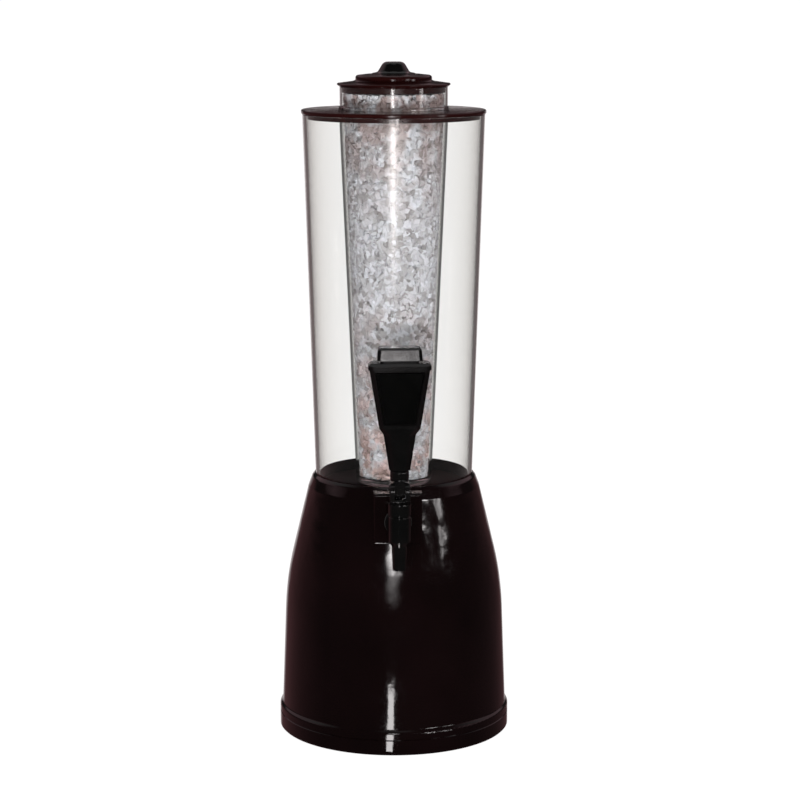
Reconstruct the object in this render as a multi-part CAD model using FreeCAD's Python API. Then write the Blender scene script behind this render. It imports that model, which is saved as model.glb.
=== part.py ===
# Table tower for cold drinks: bell base, clear tank, ice tube under a ring lid, and a lever tap.
# Millimetres, +Z up. The origin is on the bell's axis at table height. The tap points along -Y.
import FreeCAD
import Part
import math
import os

# Foot and bell
foot_radius = 90.0
foot_clearance = 0.8          # plate underside above the table
seam_height = 12.5            # top of the foot plate, bottom of the bell
lip_height = 5.7              # foot lip above the seam
lip_round = 2.2
lip_shelf = 2.0               # flank starts this far above the lip
flank_foot_round = 1.2
bell_foot_radius = 87.9       # just above the lip
bend_below_rim = 82.7         # where the steep flank meets the cone
bend_radius = 84.2
bend_round = 240.0
rim_height = 203.0
shoulder_drop = 9.8           # rounded shoulder below the rim
shoulder_out = 5.4            # shoulder beyond the socket
shoulder_round = 8.0
rim_slope_out = 2.4
rim_slope_drop = 2.0
rim_slope_round = 2.6
rim_land = 0.4
bell_wall = 3.0
plate_floor = 2.5
plate_wall = 3.0
plate_bevel = 0.8
seam_chamfer = 0.5
cut_past = 1.0                # cutters run this far past a face
cut_wide = 30.0

# Rubber ring under the foot
ring_mid_radius = 62.0
ring_width = 10.0
ring_depth = 2.0
groove_clearance = 0.1

# Screws
foot_screw_radius = 2.0
foot_screw_circle = 76.5
foot_screw_length = 22.0
foot_head_radius = 3.8
foot_head_height = 2.4
floor_screw_radius = 1.5
floor_screw_inset = 10.75     # inside the tank's foot
floor_screw_length = 7.5
floor_head_radius = 2.8
floor_head_height = 1.8
screw_angles = (45.0, 135.0, 225.0, 315.0)
thread_clearance = 0.03
hole_clearance = 0.2
head_clearance = 0.3
head_sink = 0.2
head_round = 0.45             # shares of the head's height or radius
cross_reach = 0.55
cross_depth = 0.55
cross_half_width = 0.13
tip_length = 0.6              # shares of the shaft's radius
tip_radius = 0.4
pilot_room = 0.4
post_wall = 3.5
post_rise = 3.0               # post above the seam
pillar_wall = 2.6
pillar_rise = 18.0            # pillar above the post
pillar_gap = 0.1
pillar_cover = 1.0
pillar_roof = 2.0
pocket_clearance = 0.15
pocket_room = 0.2
web_half_width = 3.0
web_overlap = 0.8

# Tank
tank_foot_radius = 60.75
tank_top_radius = 69.8
tank_length = 287.3
tank_wall = 3.0
tank_edge_round = 0.5
socket_clearance = 0.15

# Tank floor and sump
floor_depth = 8.0             # tank floor below the rim
floor_thick = 6.0
floor_step = 3.0
floor_skin = 3.0
floor_edge_round = 0.6
floor_clearance = 0.1
plateau_gap = 0.5             # inside the tank's wall
relief_gap = 2.0
gasket_thick = 1.5
gasket_gap = 0.2
ledge_thick = 3.0
ledge_width = 6.6
ledge_root = 1.0              # root beyond the socket
ledge_slope_out = 3.0
ledge_slope_drop = 6.0
lug_radius = 4.2
lug_overlap = 2.0
sump_half_width = 15.0
sump_inset = 7.75             # inner front wall, behind the tank's foot
sump_length = 20.0
sump_depth = 26.0
sump_wall = 3.0
sump_round = 2.0
notch_gap = 0.6
notch_front = 3.0

# Boss for the tap
boss_half_width = 18.25
boss_half_height = 19.5
boss_above = 2.0              # middle of the boss above the shank
boss_stand = 17.25            # flat face, in front of the tank's foot
boss_edge_round = 2.0
boss_depth = 26.0

# Tap
tap_stand = 25.0              # stem axis, in front of the boss
shank_below_rim = 23.0
spout_drop = 31.0             # spout mouth below the shank
spout_mouth_radius = 5.2
spout_root_radius = 5.9
spout_bore = 3.6
spout_lip_round = 0.5
spout_root_drop = 3.0         # root of the spout below the barrel
spout_root_round = 2.0
barrel_radius = 8.5
barrel_below = 9.5
barrel_above = 10.0
barrel_step = 0.5
barrel_foot_round = 1.5
barrel_top_round = 0.8
neck_radius = 7.6
neck_length = 9.0
chamber_radius = 6.3
seat_below = 10.7             # seat edge below the shank
seat_rise = 3.3
shank_radius = 6.5
shank_bore = 3.8
shank_tail = 9.0              # shank past the sump's front wall
flange_radius = 10.0
flange_thick = 3.0
flange_round = 0.8
washer_thick = 1.5
washer_radius = 10.0
washer_show = 0.3             # outer washer beyond the flange
nut_half_flats = 10.5
nut_thick = 5.0
nut_bevel = 0.2
spacer_radius = 8.8

# Bonnet, lever and stem
bonnet_radius = 8.7
bonnet_skirt = 8.2
bonnet_roof = 4.3
bonnet_round = 2.2
bonnet_foot_round = 0.4
bonnet_crown_drop = 2.6       # outer edge of the roof below its top
neck_clearance = 0.05
cheek_root = 3.4              # cheeks start this far below the bonnet's top
cheek_half_width = 7.7
cheek_gap = 4.1
cheek_back = 5.5
cheek_back_round = 1.2
cheek_edge_round = 1.0
cheek_nose = 0.86             # share of the bonnet's radius
seat_plate = 1.0
seat_front_drop = 1.5
seat_front_round = 1.0
pivot_ahead = 5.0             # pivot in front of the stem axis
pivot_height = 29.5           # pivot above the shank
cheek_round = 6.3
knuckle_half_width = 3.9
knuckle_round = 4.6
knuckle_slot = 2.0
knuckle_slot_front = 1.3
knuckle_slot_rise = 5.0
collar_gap = 7.5              # collar above the pivot
collar_radius = 7.0
collar_thick = 8.0
collar_bevel_in = 0.6
collar_bevel_up = 0.8
collar_round = 2.0
stud_radius = 3.0
stud_length = 22.0
stud_bevel = 1.0
paddle_gap = 0.2              # paddle above the collar
pivot_pin_radius = 1.4
stem_pin_radius = 1.25
pin_clearance = 0.05
slot_clearance = 0.3
lever_pin_inset = 0.3
stem_pin_inset = 0.2
eye_round = 0.9
eye_clearance = 0.15
lever_swing = 35.0            # degrees from closed to open
stem_radius = 3.2
stem_flat = 1.75
stem_head_rise = 3.8          # stem above the pivot
stem_head_round = 0.5
stem_flat_gap = 0.3
spigot_radius = 2.0
spigot_length = 3.0
stem_collar_radius = 5.8
stem_collar_thick = 1.3
plug_height = 6.6
plug_radius = 5.7
plug_gap = 0.2
plug_round = 0.6
seal_radius = 4.4
seal_thick = 1.8
seal_round = 0.3
seal_room = 0.1
spring_mid_radius = 5.2
spring_wire = 0.45
spring_turns = 6
spring_gap = 0.08

# Paddle handle
paddle_foot_width = 15.4
paddle_foot_depth = 12.4
paddle_foot_chamfer = 3.6
paddle_neck_height = 27.0
paddle_neck_width = 23.9
paddle_neck_depth = 16.5
paddle_neck_chamfer = 5.2
paddle_head_rise = 5.0
paddle_head_width = 30.4
paddle_head_depth = 19.0
paddle_head_chamfer = 3.2
brim_rise = 74.8              # underside of the brim above the paddle's foot
brim_width = 44.3
brim_over = 0.95
brim_flare = 0.4
brim_thick = 5.6
brim_bevel = 2.0
brim_chamfer = 3.6
brim_top_chamfer = 3.0
crown_gap = 2.0
crown_height = 9.2
crown_width = 33.4
crown_lean = 2.6
crown_foot_lean = 1.0
crown_draft = 0.7             # sides lean in, up to the bevel
crown_bevel_drop = 1.6
crown_bevel_in = 2.8
crown_top_lean = 4.4
crown_chamfer = 2.4
crown_top_chamfer = 2.2
waist_inset = 5.0
waist_chamfer = 2.0
peg_radius = 4.0
peg_length = 5.0
peg_hole = 6.0
panel_foot = 36.0             # foot of the blank panel above the paddle's foot
panel_height = 36.6
panel_foot_width = 21.6
panel_top_width = 34.2
panel_depth = 2.2
panel_bevel = 2.0             # at the mouth of the panel's recess
panel_mouth = 0.5
panel_thick = 1.0
panel_clearance = 0.1

# Lid
lid_gap = 0.1
lid_over = 0.9
lid_edge = 3.2
lid_crown = 0.4
lid_wall = 2.6
lid_skirt = 3.7
lid_skirt_gap = 0.8
lid_skirt_round = 0.6
lid_skirt_bevel = 0.4
lid_under_bevel = 0.8
lid_edge_bevel = 0.6
lid_edge_round = 1.1
lid_crown_in = 2.0
lid_crown_round = 20.0
lid_hole_round = 0.5

# Ice tube
ice_tube_top_radius = 41.3
ice_tube_foot_radius = 29.2
ice_tube_wall = 1.5
ice_tube_floor = 4.0
ice_tube_stand = 17.0         # tube above the lid
ice_tube_taper_drop = 8.8     # taper starts this far below the tank's top
ice_tube_foot_gap = 1.0
ice_tube_foot_round = 2.5
ice_tube_bend_round = 60.0
ice_tube_edge_round = 0.5
ice_tube_inner_round = 2.0
ice_tube_bead = 1.3
bead_gap = 0.1
bead_height = 1.6
bead_foot_round = 0.4
bead_top_round = 0.6
bead_slope = 0.6
tube_clearance = 0.25
ice_gap = 1.0
ice_top_gap = 5.0
ice_foot_gap = 0.3
ice_round = 3.0

# Cap of the ice tube
cap_gap = 0.1
cap_over = 2.2
cap_edge = 4.0
cap_skirt = 4.6
cap_skirt_gap = 0.25
cap_skirt_bevel = 0.3
cap_skirt_round = 0.5
cap_wall = 2.4
cap_inner_round = 1.5
cap_plate = 1.0
cap_bevel_in = 1.6
cap_edge_in = 0.6
cap_edge_low = 0.35           # shares of the edge's height
cap_edge_high = 0.6
cap_edge_low_round = 0.4
cap_edge_high_round = 0.6
cap_step_radius = 29.3
cap_step_height = 4.3
cap_step_foot_out = 1.6
cap_step_foot_rise = 0.8
cap_step_foot_round = 1.6
cap_step_round = 2.4
cap_crown_radius = 19.5
cap_crown_height = 1.1        # dome under the knob, above the step
cap_crown_round = 9.0
knob_height = 9.1
knob_foot_radius = 16.6
knob_foot_bevel = 0.4
knob_foot_edge = 0.6
knob_flare_radius = 12.3
knob_flare_height = 1.3
knob_flare_round = 2.6
knob_top_radius = 7.6
knob_top_round = 5.0
knob_screw_radius = 2.0
knob_screw_length = 8.0
knob_head_radius = 3.6
knob_head_height = 2.2

# Heights and radii that follow
bend_height = rim_height - bend_below_rim
shank_height = rim_height - shank_below_rim
floor_top = rim_height - floor_depth
floor_under = floor_top - floor_thick
ledge_under = floor_under - ledge_thick
gasket_seat = floor_top - floor_step
tank_foot = gasket_seat + gasket_thick
tank_top = tank_foot + tank_length
tank_slope = (tank_top_radius - tank_foot_radius) / tank_length
floor_radius = tank_foot_radius - tank_slope * (tank_foot - floor_under) - floor_clearance
plateau_radius = tank_foot_radius - tank_wall - plateau_gap
floor_screw_circle = tank_foot_radius - floor_screw_inset
sump_front = tank_foot_radius - sump_inset
boss_front = tank_foot_radius + boss_stand
tap_reach = boss_front + tap_stand
spout_mouth = shank_height - spout_drop
seat_height = shank_height - seat_below
boss_foot = shank_height + boss_above - boss_half_height
boss_top = boss_foot + 2 * boss_half_height
neck_foot = shank_height + barrel_above
neck_top = neck_foot + neck_length
bonnet_foot = neck_foot + seat_plate
bonnet_ceiling = bonnet_foot + bonnet_skirt
bonnet_top = bonnet_ceiling + bonnet_roof
pivot_z = shank_height + pivot_height
collar_foot = pivot_z + collar_gap
paddle_foot = collar_foot + collar_thick + paddle_gap
plug_foot = seat_height + plug_gap
plug_top = plug_foot + plug_height
stem_lift = pivot_ahead * math.sin(math.radians(lever_swing))
lid_foot = tank_top + lid_gap
lid_top = lid_foot + lid_edge + lid_crown
tube_foot = floor_top + ice_tube_foot_gap
tube_top = lid_top + ice_tube_stand
taper_top = tank_top - ice_tube_taper_drop
cap_foot = tube_top + cap_gap
step_top = cap_foot + cap_edge + cap_step_height
crown_top = step_top + cap_crown_height
post_circle = foot_screw_circle
post_radius = foot_screw_radius + post_wall
post_top = seam_height + post_rise

UP = FreeCAD.Vector(0, 0, 1)
AHEAD = FreeCAD.Vector(0, -1, 0)
BACK = FreeCAD.Vector(0, 1, 0)
SIDE = FreeCAD.Vector(1, 0, 0)


def at(x, y, z):
    return FreeCAD.Vector(x, y, z)


def outline(corners, place):
    """Closed face through corners (a, b) or (a, b, rounding); place turns a and b into a point."""
    count = len(corners)
    runs = []
    for index, corner in enumerate(corners):
        point = place(corner[0], corner[1])
        rounding = corner[2] if len(corner) > 2 else 0.0
        if not rounding:
            runs.append((point, None, point))
            continue
        last = corners[index - 1]
        after = corners[(index + 1) % count]
        back = (place(last[0], last[1]) - point).normalize()
        ahead = (place(after[0], after[1]) - point).normalize()
        half = back.getAngle(ahead) / 2
        reach = rounding / math.tan(half)
        middle = (back + ahead).normalize() * (rounding / math.sin(half) - rounding)
        runs.append((point + back * reach, point + middle, point + ahead * reach))
    edges = []
    for index, run in enumerate(runs):
        if run[1] is not None:
            edges.append(Part.Arc(*run).toShape())
        start = run[2]
        end = runs[(index + 1) % count][0]
        if start.distanceToPoint(end) > 1e-6:
            edges.append(Part.LineSegment(start, end).toShape())
    return Part.Face(Part.Wire(edges))


def turned(corners, y=0.0):
    """Solid of revolution about the vertical axis at the given y. Corners are (radius, height)."""
    face = outline(corners, lambda r, z: at(r, y, z))
    return face.revolve(at(0, y, 0), UP, 360)


def upright(radius, foot, top, x=0.0, y=0.0):
    return Part.makeCylinder(radius, top - foot, at(x, y, foot), UP)


def lengthwise(radius, front, back, z, x=0.0):
    """Cylinder along Y from front to back."""
    return Part.makeCylinder(radius, back - front, at(x, front, z), BACK)


def crosswise(radius, half_length, y, z):
    """Cylinder along X, centred on x = 0."""
    return Part.makeCylinder(radius, 2 * half_length, at(-half_length, y, z), SIDE)


def block(half_width, front, back, foot, top):
    return Part.makeBox(2 * half_width, back - front, top - foot, at(-half_width, front, foot))


def around(radius):
    """Screw places on a circle."""
    for angle in screw_angles:
        turn = math.radians(angle)
        yield radius * math.cos(turn), radius * math.sin(turn)


def tank_radius(z):
    return tank_foot_radius + tank_slope * (z - tank_foot)


def bell_side(wall):
    """Corners up the side of the bell, moved inwards by the wall."""
    socket = tank_radius(rim_height) + socket_clearance
    return [
        (bell_foot_radius - wall, seam_height + lip_height + lip_shelf, 0 if wall else flank_foot_round),
        (bend_radius - wall, bend_height, bend_round),
        (socket + shoulder_out - wall, rim_height - shoulder_drop, shoulder_round),
    ]


def make_base_shell():
    socket_top = tank_radius(rim_height) + socket_clearance
    socket_foot = tank_radius(floor_under) + socket_clearance
    outer = [
        (0, seam_height),
        (foot_radius - seam_chamfer, seam_height),
        (foot_radius, seam_height + seam_chamfer),
        (foot_radius, seam_height + lip_height, lip_round),
        *bell_side(0.0),
        (socket_top + rim_slope_out, rim_height - rim_slope_drop, rim_slope_round),
        (socket_top + rim_land, rim_height),
        (0, rim_height),
    ]
    shell = turned(outer)
    side = bell_side(bell_wall)
    ledge_outer = socket_foot + ledge_root
    inner = [
        (0, seam_height),
        (side[0][0], seam_height),
        *side[:2],
        (ledge_outer + ledge_slope_out, ledge_under - ledge_slope_drop),
        (ledge_outer, ledge_under),
        (0, ledge_under),
    ]
    hollow = turned(inner)
    boss = block(boss_half_width, -boss_front, -boss_front + boss_depth, boss_foot, boss_top)
    boss = boss.makeFillet(boss_edge_round, front_edges(boss, -boss_front))
    boss_hollow = block(boss_half_width - bell_wall, -boss_front + bell_wall, -sump_front,
                        boss_foot + bell_wall, boss_top - bell_wall)
    socket = turned([
        (0, floor_under),
        (socket_foot, floor_under),
        (socket_top, rim_height),
        (0, rim_height),
    ])
    ledge_bore = upright(socket_foot - ledge_width, ledge_under - cut_past, floor_under + cut_past)
    shell = shell.fuse(boss).cut(hollow).cut(boss_hollow).cut(socket)
    lugs = []
    for x, y in around(floor_screw_circle):
        lugs.append(ledge_lug(x, y, socket_foot))
    for x, y in around(post_circle):
        lugs.append(foot_lug(x, y))
    hole_radius = floor_screw_radius + hole_clearance
    ledge_holes = [upright(hole_radius, ledge_under - cut_past, floor_under + cut_past, x, y)
                   for x, y in around(floor_screw_circle)]
    sump_notch = block(sump_half_width + sump_wall + notch_gap, -sump_front - sump_wall - notch_front,
                       -sump_front + cut_wide, ledge_under - cut_past, floor_under)
    shell = shell.cut(ledge_bore).fuse(lugs).cut(ledge_holes).cut(sump_notch)
    shank_hole = lengthwise(shank_radius + hole_clearance, -boss_front - cut_past,
                            -boss_front + bell_wall + cut_past, shank_height)
    return shell.cut(shank_hole).removeSplitter()


def front_edges(solid, y):
    """Edges that lie wholly in the plane at this y."""
    return [edge for edge in solid.Edges
            if abs(edge.BoundBox.YMin - y) < 1e-6 and abs(edge.BoundBox.YMax - y) < 1e-6]


def ledge_lug(x, y, socket_foot):
    """Tongue under the floor for one floor screw."""
    reach = socket_foot - floor_screw_circle + lug_overlap
    tongue = Part.makeBox(reach, 2 * lug_radius, ledge_thick, at(floor_screw_circle, -lug_radius, ledge_under))
    tongue.rotate(at(0, 0, 0), UP, math.degrees(math.atan2(y, x)))
    return tongue.fuse(upright(lug_radius, ledge_under, floor_under, x, y))


def foot_lug(x, y):
    """Pillar inside the bell for one foot screw, counterbored for the post below."""
    top = post_top + pillar_rise
    foot = seam_height + pillar_gap
    pillar = upright(post_radius + pillar_wall, foot, top, x, y)
    web = Part.makeBox(bell_foot_radius - bell_wall - post_circle + web_overlap, 2 * web_half_width, top - foot,
                       at(post_circle, -web_half_width, foot))
    web.rotate(at(0, 0, 0), UP, math.degrees(math.atan2(y, x)))
    pocket = upright(post_radius + pocket_clearance, seam_height - cut_past, post_top + pocket_room, x, y)
    pilot = upright(foot_screw_radius + thread_clearance, post_top, top - pillar_roof, x, y)
    inside = upright(bell_foot_radius - pillar_cover, seam_height, top)
    return pillar.fuse(web).common(inside).cut(pocket).cut(pilot)


def make_foot_plate():
    plate_top = foot_clearance + plate_floor
    plate = turned([
        (0, foot_clearance),
        (foot_radius - plate_bevel, foot_clearance),
        (foot_radius, foot_clearance + plate_bevel),
        (foot_radius, seam_height - seam_chamfer),
        (foot_radius - seam_chamfer, seam_height),
        (foot_radius - plate_wall, seam_height),
        (foot_radius - plate_wall, plate_top),
        (0, plate_top),
    ])
    groove_inner = ring_mid_radius - ring_width / 2 - groove_clearance
    groove_outer = ring_mid_radius + ring_width / 2 + groove_clearance
    groove = turned([
        (groove_inner, foot_clearance - cut_past),
        (groove_outer, foot_clearance - cut_past),
        (groove_outer, ring_depth),
        (groove_inner, ring_depth),
    ])
    posts = [upright(post_radius, foot_clearance, post_top, x, y) for x, y in around(post_circle)]
    plate = plate.fuse(posts).cut(groove)
    for x, y in around(post_circle):
        plate = plate.cut(upright(foot_screw_radius + hole_clearance, 0, post_top + cut_past, x, y))
        plate = plate.cut(upright(foot_head_radius + head_clearance, 0, foot_head_seat(), x, y))
    return plate.removeSplitter()


def foot_head_seat():
    return ring_depth + head_sink + foot_head_height


def make_foot_ring():
    inner = ring_mid_radius - ring_width / 2
    outer = ring_mid_radius + ring_width / 2
    return turned([(inner, 0), (outer, 0), (outer, ring_depth), (inner, ring_depth)])


def screw(head_radius, head_height, shaft_radius, length, x, y, head_foot):
    """Pan head screw pointing up, with a cross recess under its head."""
    head_top = head_foot + head_height
    body = turned([
        (0, head_foot),
        (head_radius, head_foot, head_height * head_round),
        (head_radius, head_top),
        (shaft_radius, head_top),
        (shaft_radius, head_top + length - shaft_radius * tip_length),
        (shaft_radius * tip_radius, head_top + length),
        (0, head_top + length),
    ])
    reach = head_radius * cross_reach
    half = head_radius * cross_half_width
    bottom = head_foot + head_height * cross_depth
    cross = [
        block(reach, -half, half, head_foot - cut_past, bottom),
        block(half, -reach, reach, head_foot - cut_past, bottom),
    ]
    body = body.cut(cross)
    body.translate(at(x, y, 0))
    return body


def make_foot_screws():
    head_foot = foot_head_seat() - foot_head_height
    return Part.makeCompound([
        screw(foot_head_radius, foot_head_height, foot_screw_radius, foot_screw_length, x, y, head_foot)
        for x, y in around(post_circle)
    ])


def make_floor_screws():
    head_foot = ledge_under - floor_head_height
    return Part.makeCompound([
        screw(floor_head_radius, floor_head_height, floor_screw_radius, floor_screw_length, x, y, head_foot)
        for x, y in around(floor_screw_circle)
    ])


def make_reservoir_floor():
    floor = turned([
        (0, floor_under),
        (floor_radius, floor_under),
        (floor_radius, gasket_seat),
        (plateau_radius, gasket_seat),
        (plateau_radius, floor_top, floor_edge_round),
        (0, floor_top),
    ])
    relief_radius = floor_screw_circle - lug_radius - relief_gap
    relief = upright(relief_radius, floor_under - cut_past, floor_top - floor_skin)
    sump_top_under = floor_top - sump_depth - sump_wall
    sump = block(sump_half_width + sump_wall, -sump_front - sump_wall, -sump_front + sump_length + sump_wall,
                 sump_top_under, floor_top - floor_skin)
    upright_edges = [edge for edge in sump.Edges if edge.BoundBox.ZLength > sump_depth / 2]
    sump = sump.makeFillet(sump_round, upright_edges)
    well = block(sump_half_width, -sump_front, -sump_front + sump_length, floor_top - sump_depth,
                 floor_top + cut_past)
    shank_hole = lengthwise(shank_radius + hole_clearance, -sump_front - sump_wall - cut_past,
                            -sump_front + cut_past, shank_height)
    pilots = [upright(floor_screw_radius + thread_clearance, floor_under - cut_past,
                      ledge_under + floor_screw_length + pilot_room, x, y)
              for x, y in around(floor_screw_circle)]
    return floor.cut(relief).fuse(sump).cut(well).cut(shank_hole).cut(pilots).removeSplitter()


def make_tank_gasket():
    return turned([
        (plateau_radius + gasket_gap, gasket_seat),
        (floor_radius, gasket_seat),
        (floor_radius, tank_foot),
        (plateau_radius + gasket_gap, tank_foot),
    ])


def make_drink_tank():
    return turned([
        (tank_foot_radius - tank_wall, tank_foot),
        (tank_foot_radius, tank_foot),
        (tank_top_radius, tank_top, tank_edge_round),
        (tank_top_radius - tank_wall, tank_top, tank_edge_round),
    ])


def make_tap_body():
    barrel_foot = shank_height - barrel_below
    body = turned([
        (spout_bore, spout_mouth),
        (spout_mouth_radius, spout_mouth, spout_lip_round),
        (spout_root_radius, barrel_foot - spout_root_drop, spout_root_round),
        (barrel_radius, barrel_foot + barrel_step, barrel_foot_round),
        (barrel_radius, neck_foot, barrel_top_round),
        (neck_radius, neck_foot),
        (neck_radius, neck_top),
        (chamber_radius, neck_top),
        (chamber_radius, seat_height + seat_rise),
        (spout_bore, seat_height),
    ], -tap_reach)
    tail_end = -sump_front + shank_tail
    shank = lengthwise(shank_radius, -tap_reach, tail_end, shank_height)
    flange_back = -boss_front - washer_thick
    flange = lengthwise(flange_radius, flange_back - flange_thick, flange_back, shank_height)
    flange = flange.makeFillet(flange_round, front_edges(flange, flange_back - flange_thick))
    inside = turned([
        (0, spout_mouth),
        (spout_bore, spout_mouth),
        (spout_bore, seat_height),
        (chamber_radius, seat_height + seat_rise),
        (chamber_radius, neck_top),
        (0, neck_top),
    ], -tap_reach)
    bore = lengthwise(shank_bore, -tap_reach, tail_end, shank_height)
    return body.fuse([shank.cut(inside), flange]).cut(bore).removeSplitter()


def washer(radius, front, back):
    disc = lengthwise(radius, front, back, shank_height)
    return disc.cut(lengthwise(shank_radius + hole_clearance, front - cut_past, back + cut_past, shank_height))


def make_tap_jam_nut():
    front = -sump_front + washer_thick
    corner = nut_half_flats / math.cos(math.radians(30))
    points = []
    for turn in range(6):
        angle = math.radians(60 * turn)
        points.append(at(corner * math.cos(angle), front, shank_height + corner * math.sin(angle)))
    nut = Part.Face(Part.makePolygon(points + points[:1])).extrude(BACK * nut_thick)
    small = corner - nut_bevel
    large = small + nut_thick
    cone = Part.makeCone(small, large, nut_thick, at(0, front, shank_height), BACK)
    back_cone = Part.makeCone(large, small, nut_thick, at(0, front, shank_height), BACK)
    nut = nut.common(cone).common(back_cone)
    return nut.cut(lengthwise(shank_radius + thread_clearance, front - cut_past, front + nut_thick + cut_past,
                              shank_height))


def make_tap_bonnet():
    bore = neck_radius + neck_clearance
    skirt = turned([
        (bore, bonnet_foot),
        (bonnet_radius, bonnet_foot, bonnet_foot_round),
        (bonnet_radius, bonnet_top - bonnet_crown_drop, bonnet_round),
        (stem_radius + pin_clearance, bonnet_top - bonnet_crown_drop),
        (stem_radius + pin_clearance, bonnet_ceiling),
        (bore, bonnet_ceiling),
    ], -tap_reach)
    seat_top = bonnet_top + seat_plate
    pivot_y = -tap_reach - pivot_ahead
    profile = outline([
        (-tap_reach + cheek_back, bonnet_top - cheek_root),
        (-tap_reach + cheek_back, pivot_z + cheek_round, cheek_back_round),
        (pivot_y - cheek_round, pivot_z + cheek_round, cheek_round - 0.01),
        (pivot_y - cheek_round, seat_top - seat_front_drop, seat_front_round),
        (-tap_reach - bonnet_radius * cheek_nose, bonnet_top - cheek_root),
    ], lambda y, z: at(-cheek_half_width, y, z))
    head = profile.extrude(SIDE * (2 * cheek_half_width))
    head_sides = [edge for edge in head.Edges
                  if abs(abs(edge.BoundBox.XMin) - cheek_half_width) < 1e-6 and edge.BoundBox.XLength < 1e-6
                  and edge.BoundBox.ZMax > seat_top]
    head = head.makeFillet(cheek_edge_round, head_sides)
    gap = block(cheek_gap, -tap_reach - cut_wide, -tap_reach + cut_wide, seat_top,
                pivot_z + cheek_round + cut_past)
    stem_hole = upright(stem_radius + pin_clearance, bonnet_ceiling - cut_past, seat_top + cut_past, 0,
                        -tap_reach)
    seal_seat = upright(seal_radius + pin_clearance, bonnet_ceiling - cut_past,
                        bonnet_ceiling + seal_thick + seal_room, 0, -tap_reach)
    inside = upright(bore, bonnet_foot - cut_past, bonnet_ceiling, 0, -tap_reach)
    pin_hole = crosswise(pivot_pin_radius, cheek_half_width + cut_past, pivot_y, pivot_z)
    return skirt.fuse(head.cut(inside)).cut([gap, stem_hole, seal_seat, pin_hole]).removeSplitter()


def make_stem_seal():
    inner = stem_radius + pin_clearance
    return turned([
        (inner, bonnet_ceiling, seal_round),
        (seal_radius, bonnet_ceiling, seal_round),
        (seal_radius, bonnet_ceiling + seal_thick, seal_round),
        (inner, bonnet_ceiling + seal_thick, seal_round),
    ], -tap_reach)


def make_lever_pin():
    return crosswise(pivot_pin_radius, cheek_half_width - lever_pin_inset, -tap_reach - pivot_ahead, pivot_z)


def make_stem_pin():
    return crosswise(stem_pin_radius, knuckle_half_width - stem_pin_inset, -tap_reach, pivot_z)


def make_tap_lever():
    pivot_y = -tap_reach - pivot_ahead
    back = -tap_reach + knuckle_half_width
    knuckle = crosswise(knuckle_round, knuckle_half_width, pivot_y, pivot_z)
    upper = block(knuckle_half_width, pivot_y - knuckle_round, back, pivot_z, collar_foot + cut_past)
    heel = block(knuckle_half_width, pivot_y, back, pivot_z - knuckle_round, pivot_z)
    collar_top = collar_foot + collar_thick
    collar = turned([
        (0, collar_foot),
        (collar_radius - collar_bevel_in, collar_foot),
        (collar_radius, collar_foot + collar_bevel_up),
        (collar_radius, collar_top, collar_round),
        (stud_radius, collar_top),
        (stud_radius, collar_top + stud_length - stud_bevel),
        (stud_radius - stud_bevel, collar_top + stud_length),
        (0, collar_top + stud_length),
    ], -tap_reach)
    lever = knuckle.fuse([upper, heel, collar])
    slot = block(knuckle_slot, pivot_y - knuckle_slot_front, back + cut_past,
                 pivot_z - knuckle_round - cut_past, pivot_z + knuckle_slot_rise)
    pin_bore = crosswise(pivot_pin_radius + pin_clearance, knuckle_half_width + cut_past, pivot_y, pivot_z)
    stem_pin_bore = crosswise(stem_pin_radius, knuckle_half_width + cut_past, -tap_reach, pivot_z)
    return lever.cut([slot, pin_bore, stem_pin_bore]).removeSplitter()


def make_valve_stem():
    head_top = pivot_z + stem_head_rise
    flat_foot = bonnet_ceiling + seal_thick + stem_flat_gap
    stem = turned([
        (0, plug_top - spigot_length),
        (spigot_radius, plug_top - spigot_length),
        (spigot_radius, plug_top),
        (stem_collar_radius, plug_top),
        (stem_collar_radius, plug_top + stem_collar_thick),
        (stem_radius, plug_top + stem_collar_thick),
        (stem_radius, head_top, stem_head_round),
        (0, head_top),
    ], -tap_reach)
    for side in (-1, 1):
        flat = block(stem_radius, -tap_reach - 2 * stem_radius, -tap_reach + 2 * stem_radius, flat_foot,
                     head_top + cut_past)
        flat.translate(at(side * (stem_flat + stem_radius), 0, 0))
        stem = stem.cut(flat)
    slide_back = pivot_ahead * (1 - math.cos(math.radians(lever_swing)))
    front = -tap_reach - slide_back - stem_pin_radius - eye_clearance
    back = -tap_reach + stem_pin_radius + eye_clearance
    half = stem_pin_radius + slot_clearance
    eye = outline([
        (front, pivot_z - half, eye_round),
        (back, pivot_z - half, eye_round),
        (back, pivot_z + half, eye_round),
        (front, pivot_z + half, eye_round),
    ], lambda y, z: at(-stem_radius - cut_past, y, z)).extrude(SIDE * (2 * stem_radius + 2 * cut_past))
    return stem.cut(eye).removeSplitter()


def make_seat_plug():
    slope = seat_rise / (chamber_radius - spout_bore)
    nose = spout_bore - plug_gap
    plug = turned([
        (0, plug_foot),
        (nose, plug_foot),
        (plug_radius, plug_foot + (plug_radius - nose) * slope),
        (plug_radius, plug_top, plug_round),
        (0, plug_top),
    ], -tap_reach)
    return plug.cut(upright(spigot_radius, plug_top - spigot_length, plug_top + cut_past, 0, -tap_reach))


def make_return_spring():
    foot = plug_top + stem_collar_thick + spring_wire + spring_gap
    top = bonnet_ceiling - spring_wire - spring_gap
    steps = 4 * spring_turns
    rise = (top - foot) / (2 * math.pi * spring_turns)
    path = []
    for step in range(steps):
        start_point = helix_point(step * math.pi / 2, foot, rise)
        end_point = helix_point((step + 1) * math.pi / 2, foot, rise)
        path += biarc(*start_point, *end_point)
    start, direction = helix_point(0, foot, rise)
    ring = Part.Wire([Part.Edge(Part.Circle(start, direction, spring_wire))])
    return Part.Wire(path).makePipeShell([ring], True, False)


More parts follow.
